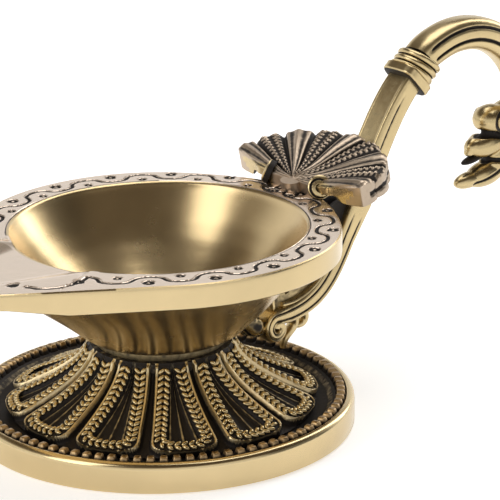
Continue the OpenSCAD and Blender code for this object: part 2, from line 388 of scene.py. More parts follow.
cast_brass = brass("cast_brass", (0.63, 0.495, 0.265), 0.27, 0.35, 700, worn=0.35)
turned_brass = brass("turned_brass", (0.68, 0.52, 0.28), 0.26, 0.05, 500,
                     ring_marks=0.10, worn=0.9, blotch=0.05)
band_brass = brass("band_brass", (0.66, 0.52, 0.29), 0.20, 0.05, 400,
                   ring_marks=0.05, worn=0.8, blotch=0.04)
rim_brass = brass("rim_brass", (0.82, 0.68, 0.55), 0.24, 0.2, 700, worn=0.45, blotch=0.05)
dark_cast = brass("dark_cast", (0.72, 0.58, 0.34), 0.32, 0.6, 900, worn=0.1)
fan_cast = brass("fan_cast", (0.56, 0.45, 0.34), 0.36, 0.8, 1300, worn=0.35)
tooth_cast = brass("tooth_cast", (0.44, 0.30, 0.15), 0.32, 0.4, 900, worn=0.3)
steel = brass("plain_steel", (0.55, 0.55, 0.54), 0.3, 0.1, 500, dark=(0.05, 0.05, 0.05))
print("materials", [m.name for m in bpy.data.materials])

# %% [markdown]
# A finished piece is smoothed except at its sharp corners, gets its metal, and hangs on the
# lamp's one body. Where one casting shows two finishes, as the bowl's turned cup and its
# pale engraved rim do, the second is painted on by place.

# %% Finishing a piece
def paint(piece, material, where):
    """Gives a second material to the faces whose centre (x, y, z) in mm passes a test."""
    piece.data.materials.append(material)
    index = len(piece.data.materials) - 1
    centres = np.empty(len(piece.data.polygons) * 3)
    piece.data.polygons.foreach_get("center", centres)
    chosen = where(*(centres.reshape(-1, 3) * 1000).T)
    old = np.empty(len(chosen), np.int32)
    piece.data.polygons.foreach_get("material_index", old)
    new = np.where(chosen, index, old).astype(np.int32)
    piece.data.polygons.foreach_set("material_index", new)
    piece.data.update()


def finish(piece, material, slot, *nodes, degrees=40):
    """Smooths a piece, gives it its material, and hangs it on the root body."""
    pick(piece)
    bpy.ops.object.shade_smooth_by_angle(angle=math.radians(degrees))
    piece.data.materials.clear()
    piece.data.materials.append(material)
    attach(piece, "root")
    if nodes:
        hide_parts(*nodes)
    print(piece.name, len(piece.data.polygons), "faces")


print("finish hangs a piece on the root body")

# %% [markdown]
# The foot ring is turned: a bright band with a rounded shoulder, a ledge for the bead teeth,
# and a dark channel inside. It is a profile spun round the axis. The teeth are one small
# pyramid-topped block, bevelled and copied round the ledge.

# %% Foot ring
ring_h = 6.0
ledge_z = ring_h - 0.9
channel_r = foot_r - 1.6
shoulder_r = 1.3
shoulder = [(foot_r - shoulder_r + shoulder_r * math.cos(a), ring_h - shoulder_r + shoulder_r * math.sin(a))
            for a in np.linspace(0, math.pi / 2, 9)]
underside = [(0.01, 6.2), (8, 6.2), (10, 2.2), (28.8, 2.2), (31, 0.25), (31.3, 0), (foot_r - 0.5, 0)]
band_edge = [(foot_r - 0.15, 0.15), (foot_r, 0.5), (foot_r, 2.6)]
ledge = [(foot_r - 1.55, ring_h - 0.12), (foot_r - 1.7, ledge_z), (foot_r - 3.9, ledge_z)]
channel = [(foot_r - 4.4, ring_h - 1.3), (foot_r - 5.2, floor_z + 0.25), (foot_r - 5.9, floor_z),
           (24, floor_z), (23.5, floor_z - 0.6), (0.01, floor_z - 0.6)]
foot_ring = lathe("foot_ring", underside + band_edge + shoulder + ledge + channel, 240)
co = points(foot_ring) * 1000
radius = np.hypot(co[:, 0], co[:, 1])
in_channel = (co[:, 2] > 3) & (radius < channel_r)
on_slope = in_channel & (radius > foot_r - 5.6) & (radius < foot_r - 4.2)
set_patina_and_shade(foot_ring, np.where(on_slope, 0.35, np.where(in_channel, 0.8, 0.0)))
finish(foot_ring, band_brass, "antique_brass", "base_ring", degrees=35)
paint(foot_ring, dark_cast, lambda x, y, z: (z > 3) & (np.hypot(x, y) < channel_r))

# %% Bead teeth
tooth_count = 90
tooth_size = (mm(2.3), mm(1.98), mm(1.7))
tooth_taper = 0.60
bpy.ops.mesh.primitive_cube_add(size=1)
tooth = bpy.context.object
tooth.scale = tooth_size
bpy.ops.object.transform_apply(location=True, rotation=True, scale=True)
co = points(tooth)
co[co[:, 2] > 0, :2] *= tooth_taper
set_points(tooth, co)
edit_all(tooth)
bpy.ops.mesh.bevel(offset=mm(0.2), segments=2)
bpy.ops.object.mode_set(mode="OBJECT")
set_patina_and_shade(tooth, 1.0 - steps(points(tooth)[:, 2] * 1000, -0.35, 0.65))
on_ledge = Matrix.Translation((mm(foot_r - 2.75), 0, mm(ring_h - 0.25)))
bead_teeth = scatter("bead_teeth", tooth, [Matrix.Rotation(math.tau * k / tooth_count, 4, "Z") @ on_ledge
                                           for k in range(tooth_count)])
finish(bead_teeth, tooth_cast, "antique_brass", degrees=50)

# %% [markdown]
# The lotus foot flares like a trumpet and carries a ring of petals. Each petal is a long loop,
# open at the top, with a braided border round a hollow of fine ridges, and deep gaps between.
# The petals are raised on a wrapped sheet by one rule, the distance to the petal's edge, and
# the braid is hundreds of copied grains, because a real braid is a row of separate bumps.

# %% The flare
lotus_top_r = 14
skirt_top_z = 5.0
share = np.linspace(0, 1, 400)
flare_r = np.concatenate([[lotus_r, lotus_r],
                          lotus_top_r + (lotus_r - lotus_top_r) * (1 - share[1:]) ** 1.9])
flare_z = np.concatenate([[floor_z, skirt_top_z], skirt_top_z + (lotus_top_z - skirt_top_z) * share[1:]])
flare_run = np.concatenate([[0], np.cumsum(np.hypot(np.diff(flare_r), np.diff(flare_z)))])
total_len = flare_run[-1]
flare_len = total_len - (skirt_top_z - floor_z)
print("flare length", round(flare_len, 2))


def flare_at(down):
    """Radius, height and outward normal of the flare, at a distance down from its top."""
    run = total_len - down
    r = np.interp(run, flare_run, flare_r)
    z = np.interp(run, flare_run, flare_z)
    slope_r = np.interp(run, flare_run, np.gradient(flare_r, flare_run))
    slope_z = np.interp(run, flare_run, np.gradient(flare_z, flare_run))
    size = np.hypot(slope_r, slope_z)
    return r, z, slope_z / size, -slope_r / size


# %% The rule for a petal
petal_count = 12
petal_end = flare_len + 0.1
end_round, end_power = 3.6, 3.0
border_w = 2.85


def petal_half_width(down):
    r = flare_at(down)[0]
    gap = 0.6 + 0.5 * steps(down, 2, flare_len)
    return math.pi * r / petal_count - gap


def inside_petal(down, across):
    """Distance from the petal's edge, positive inside; a squarish round end closes it."""
    half = petal_half_width(down)
    beyond = np.clip((down - (petal_end - end_round)) / end_round, 0, None)
    reach = (np.abs(across / half) ** end_power + beyond ** end_power) ** (1 / end_power)
    return (1 - reach) * half


print(petal_count, "petals, half width at the end", round(float(petal_half_width(flare_len)), 2))


# %% The petals' relief
def lotus_place(u, v):
    theta = u * math.tau
    down = v * total_len
    r, z, normal_r, normal_z = flare_at(down)
    sector = math.tau / petal_count
    across = ((theta + sector / 2) % sector - sector / 2) * r
    d = inside_petal(down, across)
    half = np.maximum(petal_half_width(down), 0.5)
    ridge_x = across / np.maximum(half - border_w, 0.35)
    ridges = (0.5 + 0.5 * np.cos(ridge_x * math.pi * 2.5)) ** 3
    lip = steps(d, -0.12, 0.1) * (1 - steps(d, 0.42, 0.62))
    border = steps(d, 0.1, 0.3) * (1 - steps(d, border_w - 0.3, border_w + 0.1))
    hollow = steps(d, border_w - 0.2, border_w + 0.2)
    relief = -0.95 * (1 - steps(d, -0.45, 0.0)) + 0.75 * lip + 0.4 * border * (1 - lip)
    relief += hollow * (-0.5 + 0.32 * ridges)
    relief = relief * steps(down, 0, 0.8)
    # The gaps between petals and the sunk skirt below their ends are fully dark: wax in the gaps, and painted
    # shade in the skirt under the petals.
    patina_and_shade = (1 - steps(d, -0.3, 0.0)) + hollow * (1.0 - 0.8 * ridges) + 0.8 * border * (1 - lip)
    out = r + relief * normal_r
    return out * np.cos(theta), out * np.sin(theta), z + relief * normal_z, patina_and_shade


lotus_skin = wrap_sheet("lotus_skin", 960, 92, lotus_place)
plug_low = lotus_top_z - 3
plug_profile = [(0.01, lotus_top_z), (13.2, lotus_top_z), (lotus_top_r, lotus_top_z - 0.3),
                (lotus_top_r, lotus_top_z - 2), (12, plug_low), (0.01, plug_low)]
lotus_plug = lathe("lotus_plug", plug_profile, 96)
even_patina(lotus_plug, 0.4)
lotus_foot = join("lotus_foot_skin", [lotus_skin, lotus_plug])
finish(lotus_foot, dark_cast, "antique_brass", "lotus_foot", degrees=60)


# %% The line of a braid
def braid_line(inset, pitch):
    """Points down one side of a petal, round its end and up the other: (down, across)."""
    sides = np.linspace(0.9, petal_end - end_round, 60)
    half = petal_half_width(sides) - inset
    side = np.stack([sides, half], axis=1)
    turn = np.linspace(0, math.pi / 2, 40)
    cap = np.stack([petal_end - end_round + (end_round - inset) * np.sin(turn) ** (2 / end_power),
                    half[-1] * np.cos(turn) ** (2 / end_power)], axis=1)
    right = np.concatenate([side, cap[1:]])
    left = right[::-1][1:] * np.array([1, -1])
    line = np.concatenate([right, left])
    run = np.concatenate([[0], np.cumsum(np.hypot(*np.diff(line, axis=0).T))])
    at = np.linspace(0, run[-1], int(run[-1] / pitch))
    return np.stack([np.interp(at, run, line[:, 0]), np.interp(at, run, line[:, 1])], axis=1)


def on_flare(down, across, theta_mid, lift):
    """A spot in mm, lift above the flare, and the normal there."""
    r, z, normal_r, normal_z = flare_at(down)
    theta = theta_mid + across / r
    radial = Vector((math.cos(theta), math.sin(theta), 0))
    normal = (radial * float(normal_r) + Vector((0, 0, 1)) * float(normal_z)).normalized()
    spot = radial * float(r) + Vector((0, 0, float(z))) + normal * lift
    return spot, normal


braid = braid_line(inset=1.66, pitch=1.32)
print("grains along a petal's border", len(braid) - 1)

# %% The braided borders
grain_lift, grain_side, grain_lean = 0.55, 0.57, 0.72
bpy.ops.mesh.primitive_uv_sphere_add(segments=6, ring_count=5, radius=1)
grain = bpy.context.object
grain.scale = (mm(0.95), mm(0.48), mm(0.50))
bpy.ops.object.transform_apply(location=True, rotation=True, scale=True)
set_patina_and_shade(grain, 0.85 * (1 - steps(points(grain)[:, 2] * 1000, -0.1, 0.22)))
grain_places = []
for petal in range(petal_count):
    middle = math.tau * petal / petal_count
    for here, there in zip(braid, braid[1:]):
        spot, normal = on_flare(*((here + there) / 2), middle, grain_lift)
        ahead = on_flare(*there, middle, grain_lift)[0] - on_flare(*here, middle, grain_lift)[0]
        ahead = (ahead - normal * ahead.dot(normal)).normalized()
        beside = normal.cross(ahead)
        for side in (-1, 1):
            lean = (ahead * math.cos(grain_lean) - beside * side * math.sin(grain_lean)).normalized()
            turn = Matrix((lean, normal.cross(lean), normal)).transposed().to_4x4()
            centre = (spot + beside * side * grain_side) * 0.001
            grain_places.append(Matrix.Translation(centre) @ turn)
lotus_braids = scatter("lotus_braids", grain, grain_places)
finish(lotus_braids, cast_brass, "antique_brass", degrees=80)

# %% [markdown]
# The bowl is one casting: a deep cup, a flat rim and a pointed spout for the wick. It is one
# sheet wrapped from the middle of the cup's floor, up its wall, over the rim, down the edge
# band and back under. The rim's vine is cut into the mesh: each rim vertex sinks by its
# distance to the vine's line, so the engraving has real depth and can hold black wax.

# %% Rim outline and trough
rim_t = 4.8
mouth_r = 29.2
tangent = math.acos(rim_r / spout_l)
pinch_depth, pinch_at, pinch_width = 1.1, math.radians(32), math.radians(22)


def rim_edge(theta):
    """Distance from the axis to the rim's outline; it is pinched in on each side of the fan."""
    from_spout = np.abs((theta + math.pi * 2) % math.tau - math.pi)
    straight = rim_r / np.cos(np.clip(tangent - from_spout, 0, tangent))
    pinch = pinch_depth * np.exp(-((math.pi - from_spout - pinch_at) / pinch_width) ** 2)
    return np.where(from_spout < tangent, straight, rim_r - pinch)


def trough_depth(x, y):
    """Depth of the wick's trough, which narrows and rises towards the tip of the spout."""
    along = np.clip((-x - 25) / (spout_l - 28.0), 0, 1)
    half = 13.0 * (1 - along) + 0.9
    wall = steps(half - np.abs(y), -0.6, 0.5 + 4.2 * (1 - along))
    start = steps(-x, 21, 27)
    end = 1 - steps(-x, spout_l - 4.0, spout_l - 2.4)
    return (0.9 - 0.2 * along) * wall * start * end


def under_rim(x):
    """Height of the rim's underside, which rises towards the tip of the spout."""
    low = rim_z - rim_t
    return np.interp(-x, [rim_r, rim_r + 9.5, spout_l], [low, low + 1.6, rim_z - 2.2])


print("rim's straight sides start", round(math.degrees(tangent), 1), "degrees from the spout")

# %% The vine's line
wave_angle = math.radians(21.0)
first_eye = math.radians(47.3)
vine_stop = math.radians(152)
wave_height = 1.6


def vine_middle(angle):
    return 32.5 + 1.9 * steps(np.abs(angle), math.radians(125), math.radians(153))


def vine_line():
    """The wavy stem on the rim, ending in two curved tails beside the spout."""
    angle = np.linspace(-vine_stop, vine_stop, 1500)
    phase = (np.abs(angle) - first_eye) / wave_angle * math.tau
    radius = vine_middle(angle) - wave_height * np.cos(phase)
    lean = angle + 0.018 * np.sign(angle) * np.sin(2 * phase)
    wave = np.stack([radius * np.cos(lean), radius * np.sin(lean)], axis=1)
    tails = []
    for side, last in ((-1, wave[0]), (1, wave[-1])):
        t = np.linspace(0, 1, 60)[:, None]
        knee = last + np.array([-3.0, side * 2.6])
        turn_in, end = np.array([-39.0, side * 18.2]), np.array([-40.6, side * 12.6])
        tails.append((1 - t) ** 3 * last + 3 * t * (1 - t) ** 2 * knee
                     + 3 * t * t * (1 - t) * turn_in + t ** 3 * end)
    return np.concatenate([wave] + tails)


def spiral_line(x, y, size, turns, hand):
    t = np.linspace(0, 1, 60)
    reach = size * (1 - 0.85 * t)
    angle = hand * t * turns * math.tau
    return np.stack([x + reach * np.cos(angle), y + reach * np.sin(angle)], axis=1)


hub_scrolls = [spiral_line(31.6, side * 2.4, 1.5, 1.3, side) for side in (-1, 1)]
cut_lines = np.concatenate([vine_line()] + hub_scrolls)
eyes = []
for side in (-1, 1):
    for k in range(-2, 6):
        for at, offset, size in ((first_eye + k * wave_angle, 1.5, 1.0),
                                 (first_eye + (k - 0.5) * wave_angle, -1.5, 0.75)):
            if 0.05 < at < vine_stop + 0.02:
                eyes.append((float(vine_middle(at)) + offset, side * at, size))
print("points in the cut lines", len(cut_lines), "and eyes in the vine", len(eyes))

# %% The engraving's depth
eye_l, eye_w = 1.15, 1.2
border_depth = 0.45


def engraving(x, y):
    """Depth share from 0 to 1, and darkness, of the cuts at points on the rim's top."""
    depth = np.zeros(len(x))
    dark = np.zeros(len(x))
    near = np.hypot(x, y) < 44
    px, py = x[near], y[near]
    nearest = np.full(len(px), 9.0)
    for start in range(0, len(cut_lines), 100):
        part = cut_lines[start:start + 100]
        gap = np.hypot(px[:, None] - part[:, 0], py[:, None] - part[:, 1])
        nearest = np.minimum(nearest, gap.min(axis=1))
    radius = np.hypot(px, py)
    angle = np.arctan2(py, px)
    away_from_spout = np.abs(angle) < math.radians(150)
    border = np.where(away_from_spout, np.abs(radius - mouth_r - 0.35), 9)
    cut = 1 - steps(nearest, 0.2, 0.46)
    cut = np.maximum(cut, border_depth * (1 - steps(border, 0.08, 0.25)))
    for eye_r, eye_angle, size in eyes:
        along = (angle - eye_angle) * eye_r
        oval = np.hypot(along / (eye_l * size), (radius - eye_r) / (eye_w * size))
        ring = 1 - steps(np.abs(oval - 0.62), 0.22, 0.42)
        cut = np.maximum(cut, np.where(oval < 1.3, ring, 0))
    for side in (-1, 1):
        mark = np.hypot((px + 41.8) / 1.2, (py - side * 10.1) / 0.9)
        cut = np.maximum(cut, 1 - steps(mark, 0.7, 1.2))
    depth[near] = cut
    dark[near] = np.clip(cut * 1.25, 0, 1)
    return depth, dark


print("the engraving sinks each point of the rim by its distance to a line")

# %% [markdown]
# The bowl's sheet has five bands of rows. Each band has its own short rule, from a direction
# and a share of the way across the band to a place and its patina, and neighbouring bands
# meet on the same line, so the skin stays closed.

# %% The cup's two walls
cup_inside = [(0.05, 21.7), (6, 21.75), (11.5, 22.0), (14.0, 22.9), (16.2, 24.6), (19.0, 27.3),
              (22.0, 30.4), (24.4, 33.4), (26.6, 36.6), (28.4, 39.2), (mouth_r - 0.25, rim_z - 0.25)]
cup_outside = [(29.9, rim_z - rim_t), (28.6, 34.0), (26.6, 31.0), (24.4, 28.2), (21.8, 25.2),
               (18.9, 22.2), (16.4, 19.9), (14.8, 18.9), (13.6, 18.6), (8, 18.6), (0.05, 18.6)]
keel = 5.2
edge_gap = 0.35


def along_profile(profile, share):
    at = share * (len(profile) - 1)
    r = np.interp(at, range(len(profile)), [p[0] for p in profile])
    height = np.interp(at, range(len(profile)), [p[1] for p in profile])
    return r, height


def cup_wall(theta, share):
    """From the middle of the cup's floor up to the mouth, with the trough's start cut down."""
    r, height = along_profile(cup_inside, share)
    x, y = r * np.cos(theta), r * np.sin(theta)
    return x, y, np.minimum(height, rim_z - trough_depth(x, y) - 0.2), np.zeros(len(x))


def cup_skin(theta, share):
    """Down the cup's outside, which leans out towards the spout, to the middle below."""
    r, height = along_profile(cup_outside, share)
    lean = keel * steps(-np.cos(theta), 0.0, 1.0) * steps(height, 20.5, rim_z - rim_t)
    r = np.minimum(r + lean, rim_edge(theta) - 1)
    x = r * np.cos(theta)
    # The bottom of the cup's outside is darkened as painted shadow of the foot; it is also a little darker
    # just below the rim.
    patina_and_shade = 0.25 * (1 - steps(height, 18.6, 20.5)) + 0.3 * steps(height, 34.2, 35.6)
    return x, r * np.sin(theta), np.minimum(height, under_rim(x)), patina_and_shade


print("cup", cup_inside[0][1], "to", cup_inside[-1][1], "mm high inside")


# %% The rim's three bands
def rim_top(theta, share):
    """Over the rim; rows crowd towards the mouth in the long direction of the spout."""
    reach = rim_edge(theta) - edge_gap - mouth_r
    power = np.where(reach > 13, np.log(np.clip(11.8 / reach, 0.01, 1)) / math.log(0.72), 1.0)
    r = mouth_r + reach * share ** power
    x, y = r * np.cos(theta), r * np.sin(theta)
    depth, dark = engraving(x, y)
    trough = trough_depth(x, y)
    plain = 1 - steps(trough, 0.3, 0.6)
    return x, y, rim_z - 0.36 * depth * plain - trough, dark * plain


def edge_band(theta, share):
    """Down the bright edge, with a small chamfer at both sides."""
    edge = rim_edge(theta)
    low = under_rim(edge * np.cos(theta))
    at = [0, 0.12, 0.24, 0.85, 1]
    r = edge - np.interp(share, at, [edge_gap, 0.1, 0.0, 0.0, 0.3])
    drop = np.interp(share, at, [0.0, 0.04, 0.12, 0.95, 1.0])
    return r * np.cos(theta), r * np.sin(theta), rim_z - drop * (rim_z - low), np.zeros(len(r))


def rim_under(theta, share):
    """Back under the rim to the cup's outside."""
    edge = rim_edge(theta)
    inner = cup_outside[0][0] + keel * steps(-np.cos(theta), 0.0, 1.0)
    r = (edge - 0.3) * (1 - share) + np.minimum(inner, edge - 1) * share
    x = r * np.cos(theta)
    return x, r * np.sin(theta), under_rim(x), 0.35 * share


# %% The bowl's sheet
bowl_bands = ((34, cup_wall), (46, rim_top), (9, edge_band), (5, rim_under), (24, cup_skin))
bowl_rows = sum(rows for rows, _ in bowl_bands)


def bowl_place(u, v):
    theta = u * math.tau
    row = np.rint(v * bowl_rows).astype(int)
    place = np.zeros((4, len(u)))
    start = 0
    for rows, band in bowl_bands:
        chosen = (row <= start + rows) & ((row > start) | (start == 0))
        place[:, chosen] = band(theta[chosen], (row[chosen] - start) / rows)
        start += rows
    return place


def from_edge(x, y):
    return rim_edge(np.arctan2(y, x)) - np.hypot(x, y)


bowl = wrap_sheet("bowl_shell", 760, bowl_rows, bowl_place, 0.01)
finish(bowl, turned_brass, "polished_brass", "bowl", degrees=35)
paint(bowl, band_brass, lambda x, y, z: (z > rim_z - rim_t + 0.05) & (np.hypot(x, y) > mouth_r + 1)
      & (z < rim_z - 0.1) & (from_edge(x, y) < 0.4))
paint(bowl, rim_brass, lambda x, y, z: (z > rim_z - 2.4) & (np.hypot(x, y) > mouth_r)
      & (from_edge(x, y) > 0.36))

# %% [markdown]
# The handle's stem and the swan neck are bent bars. A bar is a sheet wrapped into a tube: one
# parameter runs along the bend and the other round the section. The section is a rule too, so
# that its corners, grooves and thickness can change on the way. The stem ends below in a
# scroll, so its line starts as a spiral and then follows two smooth curves up to the collar.

# %% Bars bent in the lamp's plane
def bezier(p, count):
    """A cubic curve through its first and last points, as count (x, z) points in mm."""
    p = np.array(p, float)
    t = np.linspace(0, 1, count)[:, None]
    return (1 - t) ** 3 * p[0] + 3 * t * (1 - t) ** 2 * p[1] + 3 * t * t * (1 - t) * p[2] + t ** 3 * p[3]


def even(line, count):
    """The same line with count points, evenly spaced, and its length."""
    run = np.concatenate([[0], np.cumsum(np.hypot(*np.diff(line, axis=0).T))])
    at = np.linspace(0, run[-1], count)
    return np.stack([np.interp(at, run, line[:, 0]), np.interp(at, run, line[:, 1])], axis=1), run[-1]


def superellipse(angle, half_x, half_y, power):
    """A rounded box's outline; the higher the power, the squarer it is."""
    c, s = np.cos(angle), np.sin(angle)
    size = (np.abs(c / half_x) ** power + np.abs(s / half_y) ** power) ** (-1 / power)
    return size * c, size * s


def bar(name, line, around, section):
    """section(share along, angle) gives the outline (inward, sideways) in mm, and the patina."""
    spots, length = even(line, 400)
    along = np.linspace(0, 1, len(spots))
    heading = np.gradient(spots, axis=0)
    heading /= np.linalg.norm(heading, axis=1)[:, None]
    rows = max(12, int(length / 0.28))

    def place(u, v):
        t = np.clip((v * rows - 1) / (rows - 2), 0, 1)
        out, side, patina_and_shade = section(t, u * math.tau)
        end = np.clip(np.minimum(v, 1 - v) * rows, 0, 1)
        cx, cz = np.interp(t, along, spots[:, 0]), np.interp(t, along, spots[:, 1])
        tx, tz = np.interp(t, along, heading[:, 0]), np.interp(t, along, heading[:, 1])
        return cx - tz * out * end, side * end, cz + tx * out * end, patina_and_shade

    print(name, round(length, 1), "mm long")
    return wrap_sheet(name, around, rows, place, 0.004)


print("a bar's last row closes each end")

# %% The handle's line
neck_bend_r = 19.4
neck_half = 3.7
neck_bend = np.array([80.6, neck_top_z - neck_bend_r - neck_half])
neck_from, neck_to = math.radians(10), math.radians(124)
collar_l, collar_slope = 6.4, math.radians(42)
stem_mid = (50.4, 34.6)
scroll_at = (27.6, 13.0)


def on_bend(angle):
    """A spot on the neck's bend."""
    return neck_bend + neck_bend_r * np.array([math.cos(angle), math.sin(angle)])


neck_start, neck_end = on_bend(neck_to), on_bend(neck_from)
neck_end_dir = np.array([math.sin(neck_from), -math.cos(neck_from)])
stem_dir = np.array([math.cos(collar_slope), math.sin(collar_slope)])
stem_end = neck_start - collar_l * stem_dir

turn = np.linspace(1, 0, 60)
spiral_angle = math.radians(100) + turn * math.tau * 1.12
spiral_reach = 2.4 - 1.9 * turn
scroll = np.stack([scroll_at[0] + spiral_reach * np.cos(spiral_angle),
                   scroll_at[1] + spiral_reach * np.sin(spiral_angle)], axis=1)
lower = bezier([scroll[-1] + (0.05, 0), (41.5, 15.2), (43.2, 22.4), stem_mid], 80)
upper = bezier([stem_mid, (54.8, 42), stem_end - 8 * stem_dir, stem_end], 80)
stem_line = np.concatenate([scroll, lower[1:], upper[1:]])
print("stem ends at", stem_end.round(1), "neck starts at", neck_start.round(1))


# %% The stem and its lower scroll
def stem_section(t, angle):
    """A flat strap: two grooves on each cheek below, and one notch and a sunk front above."""
    thick = np.interp(t, [0, 0.12, 0.2, 0.3, 0.5, 0.62, 0.75, 1], [0.9, 1.4, 2.0, 2.3, 2.4, 2.9, 2.6, 2.5])
    wide = np.interp(t, [0, 0.2, 0.5, 0.62, 0.78, 1], [3.5, 3.4, 3.2, 3.6, 3.2, 3.25])
    out, side = superellipse(angle, thick, wide, 5.5)
    cheek = steps(np.abs(side) / wide, 0.93, 0.985)
    height = out / thick
    groove = np.exp(-((height - 0.42) / 0.09) ** 2) + np.exp(-((height + 0.42) / 0.09) ** 2)
    groove = np.clip(groove, 0, 1) * cheek * steps(t, 0.02, 0.06) * (1 - steps(t, 0.52, 0.6))
    notch = np.exp(-((height - 0.25) / 0.08) ** 2) * cheek * steps(t, 0.64, 0.7) * (1 - steps(t, 0.9, 0.97))
    side = side * (1 - 0.09 * groove - 0.05 * notch)
    front = steps(height, 0.88, 0.97) * (1 - steps(np.abs(side) / wide, 0.62, 0.8)) * steps(t, 0.66, 0.74)
    return out - 0.25 * front, side, 0.7 * groove + 0.5 * notch + 0.12 * front + 0.06


stem = bar("stem", stem_line, 112, stem_section)
add_cavity(stem, 2.0)

# %% [markdown]
# The bracket under the bowl is a flat leaf between stem and rim, with a crescent cut through
# it and raised ribs, a curled leaf that hugs the cup, two small tendrils and the lug that the
# centre screw clamps. A flat leaf starts as a filled circle whose vertices are moved onto the
# outline; it is extruded, inset and bevelled as by hand.

# %% Flat plates from an outline
def plate(name, outline, thickness, bevel=0.35, inset=0.0, sink=0.0):
    """A plate in the lamp's plane, thickness mm across it, with an inset panel on both faces."""
    deselect()
    bpy.ops.mesh.primitive_circle_add(vertices=len(outline), radius=1, fill_type="NGON")
    piece = bpy.context.object
    piece.name = name
    set_points(piece, np.array([(x, -thickness / 2, z) for x, z in outline]) * 0.001)
    edit_all(piece)
    bpy.ops.mesh.extrude_region_move(TRANSFORM_OT_translate={"value": (0, mm(thickness), 0)})
    bpy.ops.mesh.select_all(action="SELECT")
    bpy.ops.mesh.normals_make_consistent(inside=False)
    if inset:
        bpy.ops.mesh.select_mode(type="FACE")
        bpy.ops.mesh.select_all(action="DESELECT")
        bpy.ops.object.mode_set(mode="OBJECT")
        for face in piece.data.polygons:
            face.select = abs(face.normal.y) > 0.9
        bpy.ops.object.mode_set(mode="EDIT")
        bpy.ops.mesh.inset(thickness=mm(inset), depth=0)
        bpy.ops.mesh.inset(thickness=mm(0.18), depth=-mm(sink))
    bpy.ops.object.mode_set(mode="OBJECT")
    apply_modifier(piece, "BEVEL", width=mm(bevel), segments=2, limit_method="ANGLE",
                   angle_limit=math.radians(50))
    return piece


def crescent(x, z, r, shift_x, shift_z, r2, count=18):
    """Outline of a disc with a second disc taken away, as the outer and then the inner arc."""
    gap = math.hypot(shift_x, shift_z)
    toward = math.atan2(shift_z, shift_x)
    cross = math.acos((gap ** 2 + r ** 2 - r2 ** 2) / (2 * gap * r))
    back = math.acos((gap ** 2 + r2 ** 2 - r ** 2) / (2 * gap * r2))
    outer = [(x + r * math.cos(a), z + r * math.sin(a))
             for a in np.linspace(toward + cross, toward + math.tau - cross, count)]
    inner = [(x + shift_x + r2 * math.cos(a), z + shift_z + r2 * math.sin(a))
             for a in np.linspace(toward + math.pi + back, toward + math.pi - back, count)]
    return outer + inner[1:-1]


print("crescent outline has", len(crescent(0, 0, 5, -2, 2, 5)), "points")

# %% The web
web_t = 4.4
web_outline = np.concatenate([
    bezier([(27.4, 15.6), (25.8, 21), (27.4, 29), (30.6, 34.4)], 12),
    bezier([(30.6, 34.4), (35, 34.8), (39, 34.2), (43, 36.4)], 12)[1:],
    bezier([(43, 36.4), (45.5, 37.6), (47.5, 37), (49.6, 35.4)], 8)[1:],
    bezier([(49.6, 35.4), (45, 24), (43, 17.4), (36, 15.2)], 12)[1:]])
moon = crescent(37.4, 26.2, 5.0, -1.9, 2.4, 5.3)
slit = np.concatenate([bezier([(30.6, 19.4), (29.6, 23), (30.2, 26), (31.6, 28.4)], 10),
                       bezier([(32.4, 28.0), (31.4, 25), (31.2, 22), (31.6, 19.6)], 10)])
web = plate("web", web_outline, web_t, bevel=0.3, inset=0.75, sink=0.35)
for name, outline in (("web_hole", moon), ("web_slit", slit)):
    cutter = plate(name, outline, 12, bevel=0.02)
    apply_modifier(web, "BOOLEAN", operation="DIFFERENCE", solver="EXACT", object=cutter)
    bpy.data.objects.remove(cutter)
edit_all(web)
bpy.ops.mesh.quads_convert_to_tris()
bpy.ops.mesh.subdivide(number_cuts=2)
bpy.ops.object.mode_set(mode="OBJECT")
add_cavity(web, 2.5, spread=2)
co = points(web) * 1000
panel = 1 - steps(np.abs(co[:, 1]), 1.9, 2.15)
# The web's upper part, under the fan and the rim's edge, gets painted shade added to its patina.
painted_shade_under_fan = steps(co[:, 2], 27.0, 35.0) * steps(co[:, 0], 33, 42)
set_patina_and_shade(web, get_patina_and_shade(web) + 0.30 * panel + 0.7 * painted_shade_under_fan)
print("web", len(web.data.polygons), "faces")


# %% Leaf, tendrils and ribs
def rib_section(t, angle):
    size = 0.75 * np.sin(math.pi * np.clip(t * 0.9 + 0.1, 0, 1)) ** 0.5 + 0.12
    out, side = superellipse(angle, size, size, 2.2)
    return out, side, 0.25 * (1 - steps(np.abs(side), 0.2, 0.6))


def leaf_section(t, angle):
    """A thick strap with flutes along it."""
    thick = np.interp(t, [0, 0.3, 0.75, 1], [0.8, 1.2, 2.3, 1.4])
    wide = np.interp(t, [0, 0.35, 0.8, 1], [2.6, 3.4, 3.7, 2.4])
    out, side = superellipse(angle, thick, wide, 2.6)
    flutes = np.cos(side * math.tau / 1.55)
    return out * (1 + 0.10 * flutes), side, 0.4 * (1 - flutes)


def tendril_section(t, angle):
    size = np.interp(t, [0, 0.6, 1], [1.0, 0.75, 0.5])
    out, side = superellipse(angle, size, size * 1.5, 2.4)
    return out, side, np.full(len(t), 0.15)


leaves = [
    bar("leaf_up", bezier([(25.5, 13.2), (21.8, 14.2), (19.4, 17.0), (21.2, 21.2)], 60), 72, leaf_section),
    bar("leaf_neck", bezier([(14.0, 17.8), (17.6, 18.2), (19.4, 16.6), (24.5, 13.0)], 60), 72, leaf_section),
    bar("tendril", bezier([(34, 13.6), (35.2, 10.4), (31.2, 10.8), (31.5, 7.3)], 60), 24, tendril_section),
    bar("small_tendril", bezier([(36.4, 14.4), (38.2, 11.8), (35.4, 10.6), (34.2, 11.8)], 60), 24,
        tendril_section)]
for piece in leaves:
    add_cavity(piece, 2.0)
rib_line = bezier([(29.4, 17.6), (36.5, 17.0), (41.4, 20.4), (46.8, 31.0)], 60)
ribs = []
for side in (-1, 1):
    rib = bar("web_rib", rib_line, 20, rib_section)
    set_points(rib, points(rib) + (0, side * mm(web_t / 2), 0))
    ribs.append(rib)

